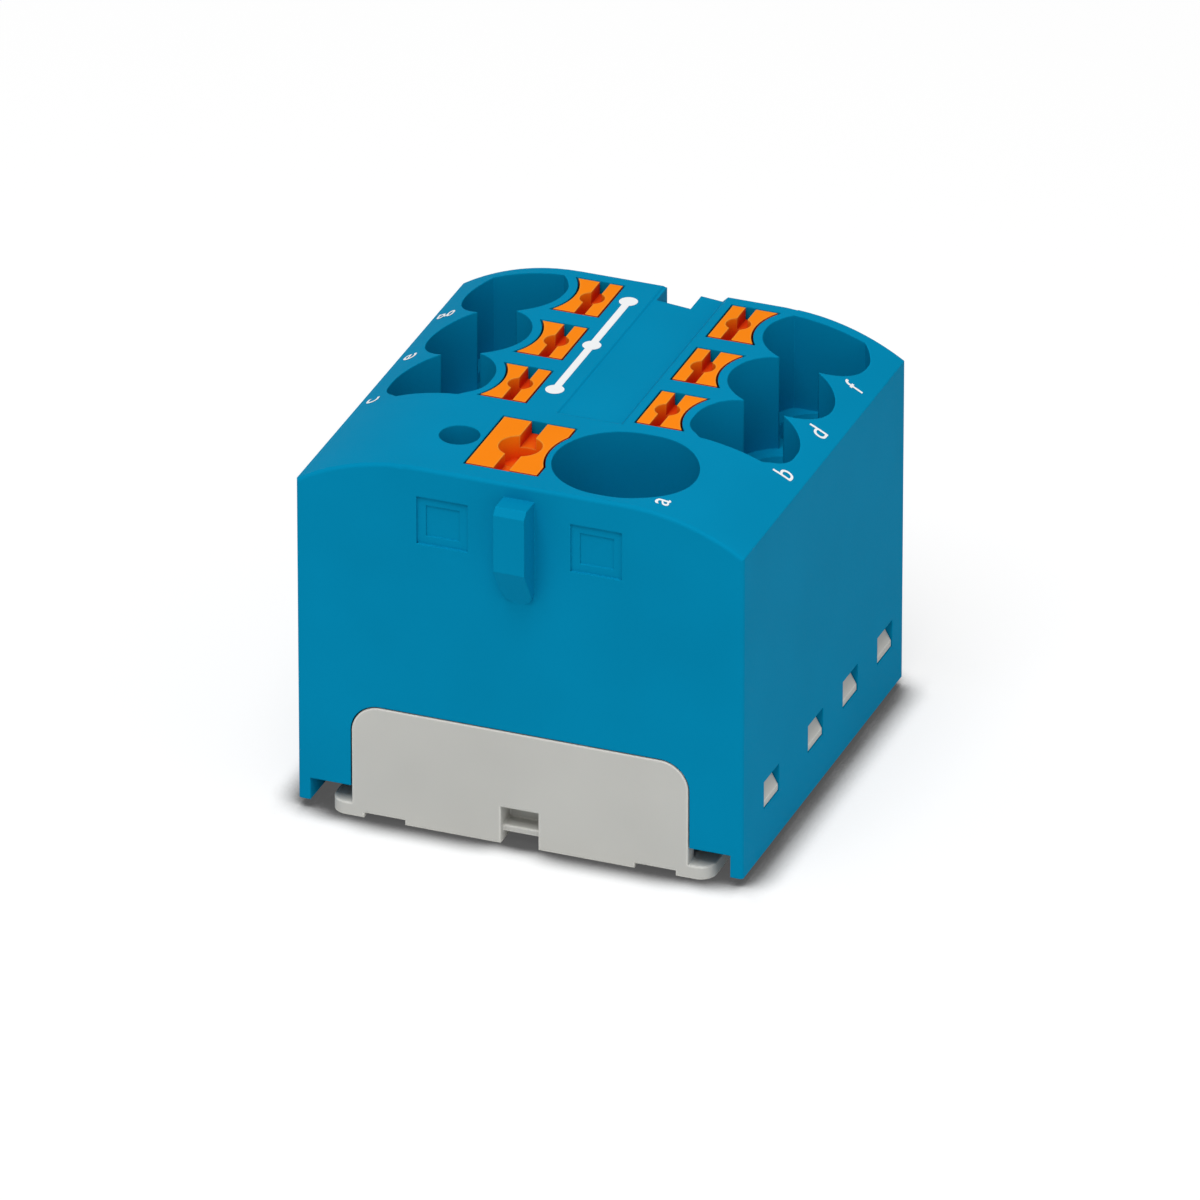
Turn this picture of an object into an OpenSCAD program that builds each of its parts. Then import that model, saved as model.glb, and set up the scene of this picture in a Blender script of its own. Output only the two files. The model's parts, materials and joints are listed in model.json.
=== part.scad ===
// Power distribution block: one large and six small push-in wire entries, each with a release
// button over its own clamping spring, all joined by one copper bar in a snapped-together body.
// Origin: centre of the underside. X runs along the front, Y from front to rear, Z up.

/* [Rows] */
// Front face to the middle of the large entry and its button
large_row = 4.3; // [4.2:0.05:4.7]
// Front face to the middle of the first small row
small_row = 10.95; // [10.75:0.05:11.6]
// Distance between small rows
small_pitch = 5.3; // [5.1:0.05:6]
// Middle of the last small row to the rear face
rear_margin = 2.85; // [2.75:0.05:3.4]

/* [Housing] */
// Height of the flat top above the lower edge of the side walls
housing_h = 21.1; // [20:0.1:24]
// Side wall between a small entry and the side face
entry_margin = 1.15; // [1:0.05:1.8]
// Width of the flat part of the top
top_flat_w = 11.8; // [11.6:0.1:13]
// Radius of the curved shoulders of the top
top_arc_r = 12.6; // [12:0.1:16]
// Rounding of the outer edges
edge_r = 0.2; // [0.1:0.05:0.5]
// Thickness of the side walls below the contact chambers
side_wall = 0.7; // [0.6:0.05:0.9]
// Thickness of the front and rear walls below the contact chambers
end_wall = 0.9; // [0.7:0.05:1.1]
// Height of the front and rear walls' lower edge above that of the side walls
end_lift = 1.3; // [0.8:0.1:1.6]
// Height of the base's underside below the side walls' lower edge
foot_h = 0.5; // [0.3:0.05:0.7]

/* [Wire entries] */
// Middle of the block to the axis of the small entries
small_entry_x = 8.63; // [8.4:0.01:9.2]
// Radius of the small entries
small_entry_r = 2.87; // [2.7:0.01:3]
// Corner radius on the flattened outer side of the end entries
small_corner_r = 1.8; // [1.2:0.1:1.9]
// Axis of the first small row to the flat front side of its entry
small_flat = 2.27; // [2:0.01:2.4]
// Wall between the last small entries and the rear face
small_rear_wall = 0.8; // [0.6:0.05:1]
// Middle of the block to the axis of the large entry
large_entry_x = 4.36; // [4.1:0.01:4.5]
// Radius of the ends of the large entry
large_entry_r = 3.66; // [3.4:0.01:3.7]
// Distance between the two end centres of the large entry
large_stretch = 0.56; // [0.2:0.02:0.6]
// Depth of the straight part of the entries
entry_depth = 5.6; // [4.5:0.1:6]
// Height of the funnel cone below the straight part
cone_h = 1; // [0.6:0.1:1.4]
// Radius of the small guide bores that lead the conductor to its spring
small_guide_r = 1.6; // [1.3:0.05:1.75]
// Radius of the large guide bore
large_guide_r = 2.3; // [1.9:0.05:2.5]
// Length of the guide bores
guide_l = 2; // [1.5:0.1:2.4]
// Middle of the block to the axis of the test probe bore
probe_x = 5.03; // [4.95:0.01:5.6]
// Radius of the test probe bore
probe_r = 1.1; // [0.8:0.05:1.2]

/* [Buttons] */
// Width of the small buttons
small_button_w = 2.6; // [2.3:0.05:2.8]
// Length of the small buttons
small_button_l = 3.8; // [3.4:0.05:3.85]
// Width of the large button
large_button_w = 4; // [3.6:0.05:4.1]
// Length of the large button
large_button_l = 5.6; // [5:0.05:5.6]
// Wall between a button and the small entry beside it
small_web = 0.5; // [0.35:0.05:0.6]
// Wall between the large button and the large entry
large_web = 0.3; // [0.25:0.05:0.4]
// Clearance all round a button in its guide
button_gap = 0.12; // [0.08:0.01:0.15]
// Travel of a button
button_travel = 1.5; // [1:0.1:1.8]
// Width of the screwdriver slot of the small buttons
small_slot_w = 0.6; // [0.4:0.05:0.8]
// Width of the screwdriver slot of the large button
large_slot_w = 0.9; // [0.7:0.05:1.2]
// Radius of the pocket in the middle of the small buttons
small_pocket_r = 0.68; // [0.5:0.02:0.75]
// Radius of the pocket in the middle of the large button
large_pocket_r = 1.18; // [0.9:0.02:1.3]
// Depth of the screwdriver slots
slot_depth = 0.7; // [0.5:0.05:1]
// Depth of the pockets
pocket_depth = 1.4; // [1.1:0.05:1.8]

/* [Contacts] */
// Thickness of the copper bar
bar_t = 0.8; // [0.6:0.05:0.9]
// Height of the bar's upper face above the underside of the base
bar_z = 6; // [5.8:0.05:6.3]
// Gap between the upturned contact walls and the roof of their chamber
tab_drop = 0.9; // [0.5:0.1:2]
// Gap between the rear contacts and the rear wall
rear_gap = 0.1; // [0.05:0.05:0.3]
// Length of the large contact wall along the row
large_tab_l = 4.6; // [4:0.05:5.4]
// Clearance between a contact wall and the guide bore beside it
tab_offset = 0.15; // [0.05:0.05:0.2]
// Thickness of the small springs
small_spring_t = 0.3; // [0.25:0.01:0.35]
// Thickness of the large spring
large_spring_t = 0.4; // [0.3:0.01:0.45]
// Width of the large spring
large_spring_w = 4.4; // [4:0.05:5.2]
// Height of the small springs' chamber above the bend
small_foot_drop = 1.84; // [1.5:0.02:2.2]
// Height of the large spring's chamber above the bend
large_foot_drop = 1.04; // [0.9:0.02:1.4]
// Slope of the clamping legs
leg_slope = 22; // [20:1:26]
// Clearance between the parts inside a chamber and its walls
chamber_gap = 0.2; // [0.15:0.01:0.25]

/* [Base] */
// Thickness of the base plate
plate_t = 0.75; // [0.6:0.05:0.9]
// Gap between the base plate and the side walls
plate_gap = 1.1; // [0.8:0.05:1.3]
// Corner radius of the base plate
plate_corner_r = 0.9; // [0.5:0.1:1.3]
// Width of the front and rear panels
panel_w = 19.1; // [16:0.1:19.3]
// Height of the panels above the underside
panel_h = 6.75; // [6:0.05:7.5]
// Corner radius of the panels
panel_corner_r = 1.6; // [0.8:0.1:2]
// Gap between a panel and the housing around it
panel_gap = 0.08; // [0.04:0.01:0.12]
// Width of the notch in the middle of each panel
notch_w = 2.16; // [1.6:0.02:2.8]
// Height of the notch
notch_h = 2.2; // [1.6:0.1:2.6]
// Length of a latch window along the side
window_l = 2.3; // [2:0.05:2.6]
// Height of a latch window
window_h = 1.65; // [1.4:0.05:1.8]
// Height of the windows' lower edge above the underside
window_z = 3.1; // [2.8:0.05:3.3]
// Thickness of the latch arms
arm_t = 0.8; // [0.6:0.05:1]

/* [Coupling] */
// Width of the coupling rib
rib_w = 1.75; // [1.4:0.05:2]
// How far the coupling rib stands out of the front face
rib_out = 1.5; // [1.2:0.05:1.8]
// Clearance of the coupling groove round a rib
groove_gap = 0.1; // [0.05:0.01:0.15]
// Top of the coupling rib below the flat top
rib_drop = 0.8; // [0.5:0.1:1.5]
// Length of the rib's full section
rib_full_l = 3.7; // [3:0.1:4.5]
// Length of the rib's lower taper
rib_taper_l = 2.5; // [1.5:0.1:3]

/* [Hidden] */
$fn = 96;
eps = 0.01;

// Whole size
housing_w = 2 * (small_entry_x + small_entry_r + entry_margin);
housing_d = small_row + 2 * small_pitch + rear_margin;
front_y = -housing_d / 2;
rear_y = housing_d / 2;
top_z = foot_h + housing_h;

// Row positions from the front face, and which side each small contact is on
small_rows = [for (i = [0:2]) small_row + i * small_pitch];
sides = [1, -1];

// Levels, from the top down to the contact chambers
entry_floor_z = top_z - entry_depth;
cone_floor_z = entry_floor_z - cone_h;
chamber_top_z = cone_floor_z - guide_l;
end_edge_z = foot_h + end_lift;

// Buttons: the outer edge lines up with the entry, and the side facing it is hollowed round it
small_button_out = small_entry_x - small_entry_r;
small_button_in = small_button_out - small_button_w;
small_hollow_r = small_entry_r + small_web + button_gap;
large_entry_in = large_entry_x - large_stretch / 2 - large_entry_r;
large_button_in = large_entry_in - large_button_w;
large_hollow_r = large_entry_r + large_web + button_gap;
lug_out = 0.35;
lug_h = 0.7;
lug_inset = 0.5;
slot_shift = 0.28;

// Contact walls stand just outside the guide bores
small_tab_x = small_entry_x + small_guide_r + tab_offset;
large_tab_x = large_entry_x + large_guide_r + tab_offset;

small_contact_l = 2 * (rear_margin - end_wall - rear_gap);

// Springs: the bend fills its chamber from the bar up to the foot of the button
button_seat = 0.06;
small_chamber_in = small_button_in - lug_out - chamber_gap;
large_chamber_in = large_button_in - lug_out - chamber_gap;
small_foot_z = chamber_top_z - small_foot_drop;
large_foot_z = chamber_top_z - large_foot_drop;
small_bend_r = (small_foot_z - button_seat - bar_z) / 2;
large_bend_r = (large_foot_z - button_seat - bar_z) / 2;

// Coupling, top channel and front recesses
rib_top_z = top_z - rib_drop;
rib_chamfer = 0.35;
channel_depth = 0.4;
channel_step = 0.12;
channel_left = -1.2;
channel_right = 2.6;
recess_depth = 0.12;
recess_x = 4.35;
recess_w = 2.9;
recess_h = 2.8;
recess_drop = 0.9;
recess_rim = 0.5;
recess_step = 0.06;

// Small features of the base
foot_groove_x = 7.7;
foot_groove_w = 2.35;
foot_groove_h = 0.3;
notch_depth = 1.4;
notch_wall = 0.5;
shelf_inset = 0.35;
shelf_low = 0.6;
shelf_high = 0.95;
bearer_t = 1.2;
arm_margin = 0.3;
nose_gap = 0.06;
nose_tip_h = 0.35;

// Moves a child to a row, measured from the front face
module at_row(row) {
    translate([0, front_y + row, 0]) children();
}

// Draws a child for one side; side is 1 for the right and -1 for the left
module on_side(side) {
    if (side > 0) children();
    else mirror([1, 0, 0]) children();
}

module rounded_rect(w, h, r) {
    translate([-w / 2 + r, -h / 2]) square([w - 2 * r, h]);
    translate([-w / 2, -h / 2 + r]) square([w, h - 2 * r]);
    for (x = [-1, 1])
        for (y = [-1, 1])
            translate([x * (w / 2 - r), y * (h / 2 - r)]) circle(r);
}

// ---------- Housing ----------

// Disc with rounded rims, lying along Y: the curved shoulder of the top
module shoulder_disc() {
    rotate([90, 0, 0])
        rotate_extrude()
            intersection() {
                rounded_rect(2 * top_arc_r, housing_d, edge_r);
                translate([0, -housing_d]) square([2 * top_arc_r, 2 * housing_d]);
            }
}

// Half of the top's cross-section swept to the rear, with its front and rear edges rounded
module shoulder() {
    flat = top_flat_w / 2;
    intersection() {
        translate([flat, 0, top_z - top_arc_r]) shoulder_disc();
        translate([flat, front_y, foot_h])
            cube([housing_w / 2 - flat, housing_d, housing_h]);
    }
}

module crown() {
    rotate([90, 0, 90])
        linear_extrude(top_flat_w, center = true)
            translate([0, top_z / 2]) rounded_rect(housing_d, top_z, edge_r);
}

module outer_form() {
    intersection() {
        union() {
            crown();
            for (side = sides)
                on_side(side) shoulder();
        }
        translate([0, 0, foot_h])
            linear_extrude(housing_h) rounded_rect(housing_w, housing_d, edge_r);
    }
}

// Outline of one small entry; the end rows are flattened towards the front or the rear wall
module small_entry_2d(flat) {
    circle(small_entry_r);
    if (flat > 0) {
        inner = small_entry_r - small_corner_r;
        translate([-small_entry_r, -flat + small_corner_r])
            square([2 * small_entry_r, flat - small_corner_r]);
        translate([-inner, -flat]) square([2 * inner, flat]);
        for (x = [-inner, inner])
            translate([x, -flat + small_corner_r]) circle(small_corner_r);
    }
}

// End rows: circles cut off by the flat, with a rounded rectangle beyond the axis
module end_entry_2d(flat) {
    intersection() {
        small_entry_2d(flat);
        translate([-small_entry_r, -flat]) square([2 * small_entry_r, flat + small_entry_r]);
    }
}

module small_trough() {
    last_flat = rear_margin - small_rear_wall;
    translate([small_entry_x, 0, entry_floor_z])
        linear_extrude(entry_depth + eps) {
            translate([0, front_y + small_rows[0]]) end_entry_2d(small_flat);
            translate([0, front_y + small_rows[1]]) circle(small_entry_r);
            translate([0, front_y + small_rows[2]])
                mirror([0, 1]) end_entry_2d(last_flat);
        }
}

module guide(r, mouth_r) {
    translate([0, 0, cone_floor_z]) cylinder(h = cone_h + eps, r1 = r, r2 = mouth_r);
    translate([0, 0, chamber_top_z - eps]) cylinder(h = guide_l + 2 * eps, r = r);
}

module small_entries() {
    mouth_r = min(small_flat, rear_margin - small_rear_wall);
    small_trough();
    for (row = small_rows)
        at_row(row) translate([small_entry_x, 0, 0]) guide(small_guide_r, mouth_r);
}

module large_entry() {
    at_row(large_row) {
        translate([large_entry_x, 0, entry_floor_z])
            linear_extrude(entry_depth + eps) {
                for (x = [-1, 1])
                    translate([x * large_stretch / 2, 0]) circle(large_entry_r);
                square([large_stretch, 2 * large_entry_r], center = true);
            }
        translate([large_entry_x, 0, 0])
            guide(large_guide_r, large_entry_r - large_stretch / 2);
    }
}

// Outline of a button: a rectangle whose outer side is hollowed round the entry beside it
module button_2d(x_in, w, l, axis_x, hollow_r, grow = 0) {
    difference() {
        translate([x_in - grow, -l / 2 - grow]) square([w + 2 * grow, l + 2 * grow]);
        translate([axis_x, 0]) circle(hollow_r - grow);
    }
}

module small_button_2d(grow = 0) {
    button_2d(small_button_in, small_button_w, small_button_l,
              small_entry_x, small_hollow_r, grow);
}

module large_button_2d(grow = 0) {
    button_2d(large_button_in, large_button_w, large_button_l,
              large_entry_x - large_stretch / 2, large_hollow_r, grow);
}

// Box from the bar up to the guides, one for each contact
module chamber(x_in, x_out, l) {
    translate([x_in, -l / 2, bar_z])
        cube([x_out - x_in, l, chamber_top_z - bar_z]);
}

module small_chambers() {
    x_out = small_tab_x + bar_t + chamber_gap;
    for (row = small_rows)
        at_row(row) {
            chamber(small_chamber_in, x_out, small_button_l + 2 * button_gap);
            translate([0, 0, chamber_top_z - eps])
                linear_extrude(top_z - chamber_top_z + 2 * eps) small_button_2d(button_gap);
        }
}

module large_chamber() {
    x_out = large_tab_x + bar_t + chamber_gap;
    at_row(large_row) {
        chamber(large_chamber_in, x_out, large_button_l + 2 * button_gap);
        translate([0, 0, chamber_top_z - eps])
            linear_extrude(top_z - chamber_top_z + 2 * eps) large_button_2d(button_gap);
    }
}

module probe_bore() {
    at_row(large_row)
        translate([-probe_x, 0, bar_z]) cylinder(h = top_z - bar_z + eps, r = probe_r);
}

// Space below the contact chambers, which the base closes
module lower_bay() {
    w = housing_w - 2 * side_wall;
    d = housing_d - 2 * end_wall;
    translate([-w / 2, -d / 2, 0]) cube([w, d, bar_z]);
    translate([-w / 2, front_y - eps, 0]) cube([w, housing_d + 2 * eps, end_edge_z]);
}

module panel_2d(grow = 0) {
    w = panel_w + 2 * grow;
    h = panel_h + grow;
    r = panel_corner_r + grow;
    translate([-w / 2, 0]) square([w, h - r]);
    translate([-w / 2 + r, 0]) square([w - 2 * r, h]);
    for (x = [-1, 1])
        translate([x * (w / 2 - r), h - r]) circle(r);
}

module end_cutouts() {
    for (y = [front_y - eps, rear_y - end_wall])
        translate([0, y, 0])
            rotate([90, 0, 0])
                translate([0, 0, -end_wall - eps])
                    linear_extrude(end_wall + eps) panel_2d(panel_gap);
}

module latch_windows() {
    for (row = concat([large_row], small_rows))
        at_row(row)
            translate([-housing_w, -window_l / 2, window_z])
                cube([2 * housing_w, window_l, window_h]);
}

module coupling_groove() {
    w = rib_w + 2 * groove_gap;
    depth = rib_out + groove_gap;
    low_z = rib_top_z - rib_full_l - rib_taper_l - groove_gap;
    translate([-w / 2, rear_y - depth, low_z]) cube([w, depth + eps, top_z - low_z + eps]);
}

// Wide shallow channel from the large entry to the rear; its floor falls to the right
module top_channel() {
    start = front_y + large_row + large_entry_r + large_stretch;
    translate([0, rear_y + eps, 0])
        rotate([90, 0, 0])
            linear_extrude(rear_y - start + eps)
                polygon([[channel_left, top_z + eps],
                         [channel_left + channel_step, top_z - channel_step],
                         [channel_right - channel_depth, top_z - channel_depth],
                         [channel_right, top_z + eps]]);
}

// Coupling rib: chamfered on top, tapering back into the face below, with a round lower end
module coupling_rib() {
    low_z = rib_top_z - rib_full_l - rib_taper_l;
    full_z = rib_top_z - rib_full_l;
    intersection() {
        translate([0, front_y, 0])
            rotate([90, 0, -90])
                linear_extrude(rib_w, center = true)
                    polygon([[-end_wall, low_z], [0, low_z], [rib_out, full_z],
                             [rib_out, rib_top_z - rib_chamfer],
                             [rib_out - rib_chamfer, rib_top_z], [-end_wall, rib_top_z]]);
        translate([0, front_y + eps, 0])
            rotate([90, 0, 0])
                linear_extrude(rib_out + 2 * eps) {
                    translate([-rib_w / 2, low_z + rib_w / 2])
                        square([rib_w, rib_top_z - low_z]);
                    translate([0, low_z + rib_w / 2]) circle(rib_w / 2);
                }
    }
}

// Shallow recess on each side of the rib, with a slightly deeper middle
module front_recesses() {
    low_z = rib_top_z - recess_drop - recess_h;
    for (x = [-1, 1])
        translate([x * recess_x, front_y - eps, low_z]) {
            translate([-recess_w / 2, 0, 0]) cube([recess_w, recess_depth + eps, recess_h]);
            translate([recess_rim - recess_w / 2, 0, recess_rim])
                cube([recess_w - 2 * recess_rim, recess_depth + recess_step + eps,
                      recess_h - 2 * recess_rim]);
        }
}

module housing() {
    color([0.01, 0.5, 0.68]) {
        difference() {
            outer_form();
            lower_bay();
            end_cutouts();
            latch_windows();
            for (side = sides)
                on_side(side) {
                    small_entries();
                    small_chambers();
                }
            large_entry();
            large_chamber();
            probe_bore();
            coupling_groove();
            top_channel();
            front_recesses();
        }
        coupling_rib();
    }
}

// ---------- Base ----------

module base_panel() {
    rotate([90, 0, 0]) linear_extrude(end_wall) panel_2d();
}

// Latch arm with a nose: a ramp on top and a flat catch underneath
module latch_arm(x_in) {
    reach = housing_w / 2 - x_in - nose_gap;
    nose_h = window_h - 2 * nose_gap;
    translate([x_in - arm_t, -window_l / 2 - arm_margin, 0])
        cube([arm_t, window_l + 2 * arm_margin, window_z + window_h]);
    translate([x_in, window_l / 2 - nose_gap, window_z + nose_gap])
        rotate([90, 0, 0])
            linear_extrude(window_l - 2 * nose_gap)
                polygon([[-eps, 0], [reach, 0], [reach, nose_tip_h],
                         [plate_gap, nose_h], [-eps, nose_h]]);
}

// Shallow channels along the underside
module underside_grooves() {
    for (x = [-1, 1])
        translate([x * foot_groove_x - foot_groove_w / 2, front_y - eps, -eps])
            cube([foot_groove_w, housing_d + 2 * eps, foot_groove_h + eps]);
}

// Block behind the notch in a panel, in front of which a screwdriver finds its hold
module notch_block() {
    w = notch_w + 2 * notch_wall;
    translate([-w / 2, front_y, 0]) cube([w, notch_depth + notch_wall, notch_h + notch_wall]);
}

// Notch in a panel: open below and above a shelf that stands back from the panel's face
module notch() {
    translate([-notch_w / 2, front_y - eps, 0]) {
        translate([0, 0, -eps]) cube([notch_w, shelf_inset + eps, notch_h + eps]);
        translate([0, 0, -eps]) cube([notch_w, notch_depth + eps, shelf_low + eps]);
        translate([0, 0, shelf_high]) cube([notch_w, notch_depth + eps, notch_h - shelf_high]);
    }
}

module base() {
    half_w = housing_w / 2 - side_wall - plate_gap;
    color([0.71, 0.71, 0.69])
        difference() {
            union() {
                linear_extrude(plate_t) rounded_rect(2 * half_w, housing_d, plate_corner_r);
                for (y = [front_y + end_wall, rear_y])
                    translate([0, y, 0]) base_panel();
                for (row = concat([large_row], small_rows))
                    at_row(row) {
                        for (side = sides)
                            on_side(side) latch_arm(half_w);
                        translate([-half_w, -bearer_t / 2, 0])
                            cube([2 * half_w, bearer_t, bar_z - bar_t]);
                    }
                for (end = [0, 1])
                    mirror([0, end]) notch_block();
            }
            for (end = [0, 1])
                mirror([0, end]) notch();
            underside_grooves();
        }
}

// ---------- Contacts ----------

module contact_wall(x, l) {
    low_z = bar_z - bar_t;
    translate([x, -l / 2, low_z]) cube([bar_t, l, chamber_top_z - tab_drop - low_z]);
}

module busbar() {
    half_w = small_tab_x + bar_t;
    first = front_y + small_rows[0] - small_contact_l / 2;
    last = front_y + small_rows[2] + small_contact_l / 2;
    tongue_front = front_y + large_row - large_tab_l / 2;
    tongue_left = -probe_x - probe_r;
    color([0.78, 0.72, 0.62]) {
        translate([-half_w, first, bar_z - bar_t]) cube([2 * half_w, last - first, bar_t]);
        translate([tongue_left, tongue_front, bar_z - bar_t])
            cube([large_tab_x + bar_t - tongue_left, first - tongue_front + eps, bar_t]);
        for (side = sides)
            for (row = small_rows)
                at_row(row) on_side(side) contact_wall(small_tab_x, small_contact_l);
        at_row(large_row) contact_wall(large_tab_x, large_tab_l);
    }
}

// Clamping spring: a foot on the bar, a round bend, and a leg that slopes down to the contact wall
module clamp_spring(bend_x, bend_r, t, w, tip_x) {
    start = 90 - leg_slope;
    leg_x = bend_x + bend_r * cos(start);
    leg_z = bend_r + bend_r * sin(start);
    leg_l = (tip_x - leg_x) / cos(leg_slope);
    foot_l = bend_r;
    translate([0, w / 2, bar_z])
        rotate([90, 0, 0])
            linear_extrude(w) {
                intersection() {
                    translate([bend_x, bend_r])
                        difference() {
                            circle(bend_r);
                            circle(bend_r - t);
                        }
                    union() {
                        translate([bend_x - 2 * bend_r, -bend_r]) square([2 * bend_r, 4 * bend_r]);
                        translate([bend_x, bend_r])
                            polygon([[-eps, 0], [-eps, 2 * bend_r],
                                     2 * bend_r * [cos(start), sin(start)]]);
                    }
                }
                translate([bend_x - eps, 0]) square([foot_l, t]);
                translate([leg_x, leg_z]) rotate(-leg_slope)
                    translate([-eps, -t]) square([leg_l, t]);
            }
}

module small_spring(side, row) {
    color([0.82, 0.83, 0.84])
        at_row(row)
            on_side(side)
                clamp_spring(small_chamber_in + chamber_gap + small_bend_r, small_bend_r,
                             small_spring_t, small_contact_l, small_tab_x);
}

module spring_a() {
    color([0.82, 0.83, 0.84])
        at_row(large_row)
            clamp_spring(large_chamber_in + chamber_gap + large_bend_r, large_bend_r,
                         large_spring_t, large_spring_w, large_tab_x);
}

module spring_b() { small_spring(1, small_rows[0]); }
module spring_c() { small_spring(-1, small_rows[0]); }
module spring_d() { small_spring(1, small_rows[1]); }
module spring_e() { small_spring(-1, small_rows[1]); }
module spring_f() { small_spring(1, small_rows[2]); }
module spring_g() { small_spring(-1, small_rows[2]); }

// ---------- Buttons ----------

// Screwdriver slot along the button with a round pocket in the middle
module button_recess(x, l, slot_w, pocket_r) {
    translate([x - slot_w / 2, -l, top_z - slot_depth]) cube([slot_w, 2 * l, slot_depth + eps]);
    translate([x, 0, top_z - pocket_depth]) cylinder(h = pocket_depth + eps, r = pocket_r);
}

// Lug that holds the button in the housing, under the roof of its chamber
module button_lug(x_in, l) {
    translate([x_in - lug_out, -l / 2, chamber_top_z - button_seat - lug_h])
        cube([2 * lug_out, l, lug_h]);
}

module small_button(side, row) {
    color([0.95, 0.55, 0.1])
        at_row(row)
            on_side(side) {
                difference() {
                    translate([0, 0, small_foot_z])
                        linear_extrude(top_z - small_foot_z) small_button_2d();
                    button_recess(small_button_in + small_button_w / 2 - slot_shift,
                                  small_button_l, small_slot_w, small_pocket_r);
                }
                button_lug(small_button_in, small_button_l - 2 * lug_inset);
            }
}

module button_a() {
    color([0.95, 0.55, 0.1])
        at_row(large_row) {
            difference() {
                translate([0, 0, large_foot_z])
                    linear_extrude(top_z - large_foot_z) large_button_2d();
                button_recess(large_button_in + large_button_w / 2,
                              large_button_l, large_slot_w, large_pocket_r);
            }
            button_lug(large_button_in, large_button_l - 2 * lug_inset);
        }
}

module button_b() { small_button(1, small_rows[0]); }
module button_c() { small_button(-1, small_rows[0]); }
module button_d() { small_button(1, small_rows[1]); }
module button_e() { small_button(-1, small_rows[1]); }
module button_f() { small_button(1, small_rows[2]); }
module button_g() { small_button(-1, small_rows[2]); }

housing();
base();
busbar();
spring_a();
spring_b();
spring_c();
spring_d();
spring_e();
spring_f();
spring_g();
button_a();
button_b();
button_c();
button_d();
button_e();
button_f();
button_g();
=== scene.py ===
"""Looks of the power distribution block: materials, printed marks, floor, light and camera."""
import json
import math

import bmesh
import bpy
from mathutils import Matrix, Vector


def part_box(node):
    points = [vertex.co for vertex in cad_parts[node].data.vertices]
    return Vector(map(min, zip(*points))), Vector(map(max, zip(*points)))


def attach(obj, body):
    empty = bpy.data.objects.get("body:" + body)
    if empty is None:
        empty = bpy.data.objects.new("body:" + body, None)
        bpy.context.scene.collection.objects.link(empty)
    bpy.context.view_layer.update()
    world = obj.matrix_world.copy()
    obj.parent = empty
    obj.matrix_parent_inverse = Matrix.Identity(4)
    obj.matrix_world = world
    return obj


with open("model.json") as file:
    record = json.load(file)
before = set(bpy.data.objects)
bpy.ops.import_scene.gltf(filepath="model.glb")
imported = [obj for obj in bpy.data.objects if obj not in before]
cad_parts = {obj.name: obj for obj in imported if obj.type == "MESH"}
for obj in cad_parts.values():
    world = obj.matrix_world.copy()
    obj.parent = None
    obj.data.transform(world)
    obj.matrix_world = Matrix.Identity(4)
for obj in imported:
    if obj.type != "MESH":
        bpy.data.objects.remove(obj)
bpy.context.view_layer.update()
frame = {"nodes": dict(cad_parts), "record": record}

MM = 0.001
LETTERS = "abcdefg"

# ---------- Places taken from the frame ----------

TOP_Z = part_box("housing")[1].z
FRONT_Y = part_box("base")[0].y
FLOOR_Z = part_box("base")[0].z

# The top is flat in the middle and falls away on a radius at both sides
TOP_FLAT = 5.9 * MM
TOP_ARC = 12.6 * MM


def mount(name):
    """The place of a mount in the row frame."""
    found = [m for m in frame["record"]["mounts"] if m["name"] == name]
    return Vector(found[0]["pos_m"])


def top_height(x):
    """Height of the housing's top surface at x."""
    over = max(abs(x) - TOP_FLAT, 0.0)
    return TOP_Z - TOP_ARC + math.sqrt(TOP_ARC ** 2 - over ** 2)


def top_slope(x):
    """Angle by which the top falls towards the side at x, positive on the right."""
    over = max(abs(x) - TOP_FLAT, 0.0)
    return math.copysign(math.asin(over / TOP_ARC), x)


# ---------- Node helpers ----------

COVER_SAMPLES = 16
EDGE_SAMPLES = 4


def new_material(name):
    """An empty node material with its shader and output."""
    mat = bpy.data.materials.new(name)
    mat.use_nodes = True
    tree = mat.node_tree
    tree.nodes.clear()
    out = tree.nodes.new("ShaderNodeOutputMaterial")
    shader = tree.nodes.new("ShaderNodeBsdfPrincipled")
    tree.links.new(shader.outputs["BSDF"], out.inputs["Surface"])
    return mat, tree, shader


def add(tree, kind, **inputs):
    """A node with its input sockets set by name; spaces in names are written as underscores."""
    node = tree.nodes.new(kind)
    for key, value in inputs.items():
        node.inputs[key.replace("_", " ")].default_value = value
    return node


def link(tree, source, target):
    """Joins an output socket to an input socket."""
    tree.links.new(source, target)


def object_noise(tree, scale, detail=4.0, roughness=0.55):
    """Noise in the object's own coordinates; scale is in features per metre."""
    coords = tree.nodes.new("ShaderNodeTexCoord")
    noise = add(tree, "ShaderNodeTexNoise", Scale=scale, Detail=detail, Roughness=roughness)
    link(tree, coords.outputs["Object"], noise.inputs["Vector"])
    return noise


def ramp(tree, source, low, high, start=0.3, end=0.7):
    """Colour ramp from low to high over the source's range."""
    node = tree.nodes.new("ShaderNodeValToRGB")
    node.color_ramp.elements[0].position = start
    node.color_ramp.elements[0].color = low
    node.color_ramp.elements[1].position = end
    node.color_ramp.elements[1].color = high
    link(tree, source, node.inputs["Fac"])
    return node


def spread(tree, source, low, high):
    """Maps a 0 to 1 value to the range low to high."""
    node = add(tree, "ShaderNodeMapRange", To_Min=low, To_Max=high)
    link(tree, source, node.inputs["Value"])
    return node.outputs["Result"]


def shade(colour, factor):
    """A colour made lighter or darker, with alpha 1."""
    return tuple(min(1.0, c * factor) for c in colour[:3]) + (1.0,)


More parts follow.
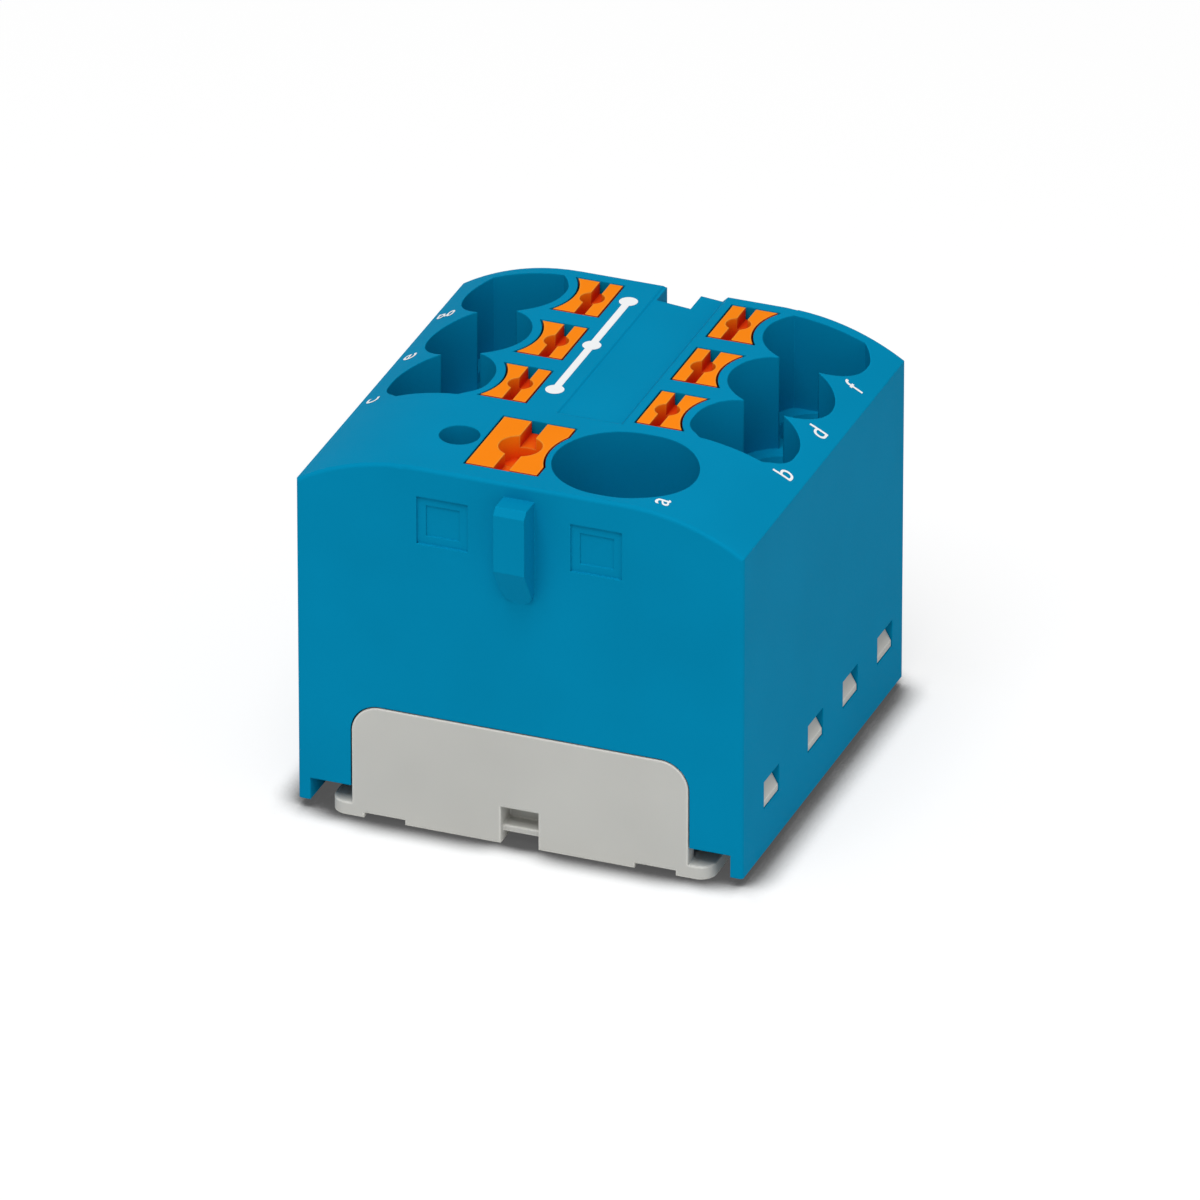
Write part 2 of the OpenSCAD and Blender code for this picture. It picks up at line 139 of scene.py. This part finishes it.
def blended(tree, amount, low, high):
    """Mix of a linked colour and a fixed one."""
    node = tree.nodes.new("ShaderNodeMix")
    node.data_type = "RGBA"
    link(tree, amount, node.inputs["Factor"])
    link(tree, low, node.inputs["A"])
    node.inputs["B"].default_value = high
    return node.outputs["Result"]


# The plastics and the floor use this to paint shade where a place is closed in.
def closeness(tree, distance, clear, full):
    """How closed in a place is: 0 above the clear share of open view, 1 below the full share.

    Only what lies within the distance counts as closing the view.
    """
    cover = add(tree, "ShaderNodeAmbientOcclusion", Distance=distance)
    cover.samples = COVER_SAMPLES
    near = add(tree, "ShaderNodeMapRange", From_Min=clear, From_Max=full)
    link(tree, cover.outputs["AO"], near.inputs["Value"])
    return near.outputs["Result"]


def highlight_mask(tree, rounded):
    """1 where the rounded normal leaves the true one, which is along the edges; it places the painted
    edge highlight.
    """
    geometry = tree.nodes.new("ShaderNodeNewGeometry")
    turn = tree.nodes.new("ShaderNodeVectorMath")
    turn.operation = "DOT_PRODUCT"
    link(tree, rounded.outputs["Normal"], turn.inputs[0])
    link(tree, geometry.outputs["Normal"], turn.inputs[1])
    mask = add(tree, "ShaderNodeMapRange", From_Min=0.996, From_Max=0.9)
    link(tree, turn.outputs["Value"], mask.inputs["Value"])
    return mask.outputs["Result"]


# Grain and colour drift of moulded plastic, in features per metre
GRAIN = 9000.0
DRIFT = 120.0


def moulded_plastic(name, colour, rough, edge, edge_highlight, recess_shade=None, variation=0.04):
    """Moulded plastic: slight colour drift, fine matt grain, rounded edge normals, and a painted
    highlight along the edges in the edge highlight colour.

    The recess shade, if given, is painted shade in slots and gaps: its colour, followed by what
    closeness needs.
    """
    mat, tree, shader = new_material(name)
    drift = object_noise(tree, DRIFT, detail=2.0)
    tint = ramp(tree, drift.outputs["Fac"], shade(colour, 1 - variation), shade(colour, 1 + variation))
    rounded = add(tree, "ShaderNodeBevel", Radius=edge)
    rounded.samples = EDGE_SAMPLES
    # Painted highlight: the edges are coloured in the lighter edge highlight colour.
    tone = blended(tree, highlight_mask(tree, rounded), tint.outputs["Color"], edge_highlight)
    # Painted shade: where closeness finds the surface closed in, it takes the darker recess shade
    # colour.
    if recess_shade:
        tone = blended(tree, closeness(tree, *recess_shade[1:]), tone, recess_shade[0])
    link(tree, tone, shader.inputs["Base Color"])
    fine = object_noise(tree, GRAIN / 2, detail=2.0)
    link(tree, spread(tree, fine.outputs["Fac"], rough - 0.06, rough + 0.06), shader.inputs["Roughness"])
    shader.inputs["IOR"].default_value = 1.05
    pits = object_noise(tree, GRAIN, detail=3.0)
    bump = add(tree, "ShaderNodeBump", Strength=0.25, Distance=0.01 * MM)
    link(tree, pits.outputs["Fac"], bump.inputs["Height"])
    link(tree, rounded.outputs["Normal"], bump.inputs["Normal"])
    link(tree, bump.outputs["Normal"], shader.inputs["Normal"])
    return mat


def metal(name, colour, rough, stretch):
    """Rolled strip: fine lines along one direction over a duller tone."""
    mat, tree, shader = new_material(name)
    coords = tree.nodes.new("ShaderNodeTexCoord")
    mapping = tree.nodes.new("ShaderNodeMapping")
    mapping.inputs["Scale"].default_value = stretch
    link(tree, coords.outputs["Object"], mapping.inputs["Vector"])
    lines = add(tree, "ShaderNodeTexNoise", Scale=1.0, Detail=5.0)
    link(tree, mapping.outputs["Vector"], lines.inputs["Vector"])
    tint = ramp(tree, lines.outputs["Fac"], shade(colour, 0.85), shade(colour, 1.1))
    link(tree, tint.outputs["Color"], shader.inputs["Base Color"])
    link(tree, spread(tree, lines.outputs["Fac"], rough - 0.08, rough + 0.1), shader.inputs["Roughness"])
    shader.inputs["Metallic"].default_value = 1.0
    return mat


# ---------- Materials ----------

BLUE = (0.0005, 0.2350, 0.4300, 1.0)
# Painted shade colour in the gaps round the buttons
GAP_SHADE_BLUE = (0.0005, 0.0250, 0.0500, 1.0)
GREY = (0.5550, 0.5520, 0.5200, 1.0)
ORANGE = (0.9300, 0.2350, 0.0060, 1.0)
# Painted shade colour in the button slots, red as for light bounced inside the orange
SLOT_SHADE_RED = (0.7000, 0.0380, 0.0040, 1.0)
# Painted edge highlight colour of the orange buttons
AMBER_HIGHLIGHT = (0.9500, 0.4200, 0.0600, 1.0)
WHITE = (0.8500, 0.8700, 0.8800, 1.0)
TIN = (0.6200, 0.6000, 0.5600, 1.0)
STEEL = (0.5800, 0.5800, 0.5900, 1.0)


# Painted shade in the slots of the buttons and in the gaps round them: colour, reach, clear and full
# share
SHADED_SLOTS = (SLOT_SHADE_RED, 1.2 * MM, 0.97, 0.4)
SHADED_GAPS = (GAP_SHADE_BLUE, 0.3 * MM, 0.45, 0.1)

# Directions of the rolled lines in the metal, in features per metre
STEEL_LINES = (900.0, 9000.0, 900.0)
BAR_LINES = (400.0, 6000.0, 400.0)


def dress(node, material):
    """Gives a CAD node its finish."""
    mesh = frame["nodes"][node].data
    mesh.materials.clear()
    mesh.materials.append(material)


def dress_nodes():
    """Finishes every CAD node, buttons and springs from one material each."""
    # Each plastic gets a painted highlight along its edges; orange and blue also get painted shade in
    # slots and gaps.
    orange = moulded_plastic("orange_plastic", ORANGE, 0.4, 0.12 * MM, AMBER_HIGHLIGHT, SHADED_SLOTS)
    blue = moulded_plastic("blue_plastic", BLUE, 0.5, 0.1 * MM, shade(BLUE, 1.2), SHADED_GAPS)
    grey = moulded_plastic("grey_plastic", GREY, 0.55, 0.2 * MM, shade(GREY, 1.6))
    steel = metal("spring_steel", STEEL, 0.3, STEEL_LINES)
    dress("housing", blue)
    dress("base", grey)
    dress("busbar", metal("tinned_copper", TIN, 0.35, BAR_LINES))
    for letter in LETTERS:
        dress("button_" + letter, orange)
        dress("spring_" + letter, steel)


# ---------- Printed marks on the top ----------

PRINT_LIFT = 0.012 * MM

# Strokes that run across the curved top are cut this often, so that they follow it
LETTER_CUTS = 4
CUT_SPACING = 0.25 * MM

# Bus symbol: where its line runs, and how far past the last wire its end dot stands
SYMBOL_X = -2.22 * MM
SYMBOL_OVERRUN = 0.3 * MM
DOT_R = 0.51 * MM
LINE_W = 0.42 * MM

# Letters: size, stroke thickening, and places beside the entries
LETTER_SIZE = 1.65 * MM
LETTER_WEIGHT = 0.008 * MM
LETTER_A = (7.6 * MM, FRONT_Y + 1.3 * MM)
RIGHT_X = 11.57 * MM
LEFT_X = -11.85 * MM
LETTER_SHIFT = {"b": -2.15, "c": -2.0, "d": -2.4, "e": -1.9, "f": -2.2, "g": -1.95}


def mesh_piece(name, bm, material, body):
    """Turns a bmesh into a piece that rides on a body."""
    mesh = bpy.data.meshes.new(name)
    bm.to_mesh(mesh)
    bm.free()
    mesh.materials.append(material)
    piece = bpy.data.objects.new(name, mesh)
    bpy.context.scene.collection.objects.link(piece)
    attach(piece, body)
    return piece


def fan(bm, centre, radius, z, steps=40):
    """A flat disc of print."""
    ring = [bm.verts.new((centre[0] + radius * math.cos(2 * math.pi * i / steps),
                          centre[1] + radius * math.sin(2 * math.pi * i / steps), z))
            for i in range(steps)]
    bm.faces.new(ring)


def bus_symbol(material):
    """Three dots joined by a line: the wires joined inside."""
    first = mount("wire_c").y
    last = mount("wire_g").y + SYMBOL_OVERRUN
    left = SYMBOL_X - LINE_W / 2
    right = SYMBOL_X + LINE_W / 2
    z = TOP_Z + PRINT_LIFT
    bm = bmesh.new()
    for y in (first, (first + last) / 2, last):
        fan(bm, (SYMBOL_X, y), DOT_R, z)
    corners = [(left, first), (right, first), (right, last), (left, last)]
    bm.faces.new([bm.verts.new((x, y, z + PRINT_LIFT / 4)) for x, y in corners])
    return mesh_piece("print_bus_symbol", bm, material, "block")


def letter_piece(letter, x, y, material):
    """A single letter lying on the top, its upright strokes pointing left."""
    curve = bpy.data.curves.new("text_" + letter, "FONT")
    curve.body = letter
    curve.size = LETTER_SIZE
    curve.align_x = "CENTER"
    curve.offset = LETTER_WEIGHT
    curve.resolution_u = 6
    text = bpy.data.objects.new("text_" + letter, curve)
    bpy.context.scene.collection.objects.link(text)
    bpy.context.view_layer.update()
    graph = bpy.context.evaluated_depsgraph_get()
    flat = bpy.data.meshes.new_from_object(text.evaluated_get(graph))
    bpy.data.objects.remove(text)
    low = min(v.co.y for v in flat.vertices)
    high = max(v.co.y for v in flat.vertices)
    turn = Matrix.Rotation(math.pi / 2, 4, "Z")
    flat.transform(turn @ Matrix.Translation((0, -(low + high) / 2, 0)))
    place = Matrix.Translation((x, y, top_height(x) + PRINT_LIFT))
    flat.transform(place @ Matrix.Rotation(top_slope(x), 4, "Y"))
    bm = bmesh.new()
    bm.from_mesh(flat)
    for step in range(-LETTER_CUTS, LETTER_CUTS + 1):
        cut_x = x + step * CUT_SPACING
        every = bm.verts[:] + bm.edges[:] + bm.faces[:]
        bmesh.ops.bisect_plane(bm, geom=every, plane_co=(cut_x, 0, 0), plane_no=(1, 0, 0))
    for v in bm.verts:
        v.co.z = top_height(v.co.x) + PRINT_LIFT
    bpy.data.meshes.remove(flat)
    return mesh_piece("print_letter_" + letter, bm, material, "block")


def printed_marks():
    """The bus symbol and the letters a to g, white on the top."""
    white = moulded_plastic("white_print", WHITE, 0.6, 0.01 * MM, WHITE, variation=0.02)
    bus_symbol(white)
    letter_piece("a", *LETTER_A, white)
    for letter, shift in LETTER_SHIFT.items():
        wire = mount("wire_" + letter)
        side_x = RIGHT_X if wire.x > 0 else LEFT_X
        letter_piece(letter, side_x, wire.y + shift * MM, white)


# ---------- Floor, light and camera ----------

# How far the painted contact shadow reaches, where the block meets the floor
CONTACT_SHADOW = 2.5 * MM

# The floor lies this far under the base, so that the two don't share a plane
FLOOR_GAP = 0.01 * MM
FLOOR_HALF = 1.5

# What the camera sees of the floor, in the open and close against the block, where darker paint and
# weaker glow are painted shadow
OPEN_PAINT = (0.35, 0.35, 0.35, 1.0)
SHADOW_PAINT = (0.02, 0.02, 0.02, 1.0)
OPEN_GLOW = 0.68
SHADOW_GLOW = 0.08

# Lamps: place and size in metres, power in watts
KEY_LAMP = ((0.0, -0.20, 0.45), 0.3, 1.55)
FILL_LAMP = ((0.50, -0.12, 0.20), 0.4, 0.35)
WORLD_LIGHT = 0.55

# Camera angles in degrees, lens and sensor in millimetres, distance in metres
CAMERA_AZIMUTH = 21.087
CAMERA_ELEVATION = 28.141
CAMERA_DISTANCE = 1.0216
CAMERA_LENS = 574.2
CAMERA_SENSOR = 36.0
CAMERA_TARGET = (-0.075 * MM, FRONT_Y + 12.05 * MM, 8.80 * MM)


def floor_material():
    """Pale floor: to the camera it is white in the open and greyer in the block's shadow, which is
    partly real shadow from the lamps and partly painted contact shadow.
    """
    mat, tree, shader = new_material("floor")
    shader.inputs["Roughness"].default_value = 1.0
    shader.inputs["Specular IOR Level"].default_value = 0.0
    noise = object_noise(tree, 40.0)
    tint = ramp(tree, noise.outputs["Fac"], (0.79, 0.79, 0.79, 1), (0.81, 0.81, 0.81, 1))
    link(tree, tint.outputs["Color"], shader.inputs["Base Color"])
    # Painted contact shadow: paint and glow darken where the block closes in the floor.
    cover = closeness(tree, CONTACT_SHADOW, 0.93, 0.6)
    matt = tree.nodes.new("ShaderNodeBsdfDiffuse")
    paint = ramp(tree, cover, OPEN_PAINT, SHADOW_PAINT, 0.0, 1.0)
    link(tree, paint.outputs["Color"], matt.inputs["Color"])
    glow = tree.nodes.new("ShaderNodeEmission")
    link(tree, spread(tree, cover, OPEN_GLOW, SHADOW_GLOW), glow.inputs["Strength"])
    seen = tree.nodes.new("ShaderNodeAddShader")
    link(tree, matt.outputs["BSDF"], seen.inputs[0])
    link(tree, glow.outputs["Emission"], seen.inputs[1])
    path = tree.nodes.new("ShaderNodeLightPath")
    either = tree.nodes.new("ShaderNodeMixShader")
    link(tree, path.outputs["Is Camera Ray"], either.inputs["Fac"])
    link(tree, shader.outputs["BSDF"], either.inputs[1])
    link(tree, seen.outputs["Shader"], either.inputs[2])
    out = [n for n in tree.nodes if n.type == "OUTPUT_MATERIAL"][0]
    link(tree, either.outputs["Shader"], out.inputs["Surface"])
    return mat


def plain_floor():
    """Large flat floor under the block."""
    bm = bmesh.new()
    corners = [(-1, -1), (1, -1), (1, 1), (-1, 1)]
    z = FLOOR_Z - FLOOR_GAP
    bm.faces.new([bm.verts.new((x * FLOOR_HALF, y * FLOOR_HALF, z)) for x, y in corners])
    mesh = bpy.data.meshes.new("floor")
    bm.to_mesh(mesh)
    bm.free()
    mesh.materials.append(floor_material())
    floor = bpy.data.objects.new("floor", mesh)
    bpy.context.scene.collection.objects.link(floor)


def area_light(name, place, size, power, aim):
    """A soft square lamp aimed at a point."""
    data = bpy.data.lights.new(name, "AREA")
    data.energy = power
    data.size = size
    lamp = bpy.data.objects.new(name, data)
    bpy.context.scene.collection.objects.link(lamp)
    lamp.location = place
    lamp.rotation_euler = (Vector(aim) - Vector(place)).to_track_quat("-Z", "Y").to_euler()


def soft_world(strength):
    """Even white surroundings, pure white where the camera or a reflection sees them."""
    world = bpy.data.worlds.new("studio")
    bpy.context.scene.world = world
    world.use_nodes = True
    tree = world.node_tree
    tree.nodes.clear()
    out = tree.nodes.new("ShaderNodeOutputWorld")
    sky = tree.nodes.new("ShaderNodeBackground")
    path = tree.nodes.new("ShaderNodeLightPath")
    seen = tree.nodes.new("ShaderNodeMath")
    seen.operation = "MAXIMUM"
    link(tree, path.outputs["Is Camera Ray"], seen.inputs[0])
    link(tree, path.outputs["Is Glossy Ray"], seen.inputs[1])
    link(tree, spread(tree, seen.outputs["Value"], strength, 1.0), sky.inputs["Strength"])
    link(tree, sky.outputs["Background"], out.inputs["Surface"])


def lights():
    """Bright surroundings, a key lamp above the front and a weak fill from the right."""
    middle = (0.0, 0.0, TOP_Z / 2)
    soft_world(WORLD_LIGHT)
    area_light("key", *KEY_LAMP, middle)
    area_light("fill", *FILL_LAMP, middle)


def camera():
    """Long lens from the front right, above."""
    azimuth = math.radians(CAMERA_AZIMUTH)
    elevation = math.radians(CAMERA_ELEVATION)
    back = Vector((math.sin(azimuth) * math.cos(elevation),
                   -math.cos(azimuth) * math.cos(elevation), math.sin(elevation)))
    data = bpy.data.cameras.new("camera")
    data.sensor_width = CAMERA_SENSOR
    data.lens = CAMERA_LENS
    data.clip_end = 10.0
    cam = bpy.data.objects.new("camera", data)
    bpy.context.scene.collection.objects.link(cam)
    cam.location = Vector(CAMERA_TARGET) + CAMERA_DISTANCE * back
    cam.rotation_euler = (-back).to_track_quat("-Z", "Y").to_euler()
    bpy.context.scene.camera = cam


camera()
dress_nodes()
printed_marks()
plain_floor()
lights()
bpy.context.scene.view_settings.view_transform = "Standard"
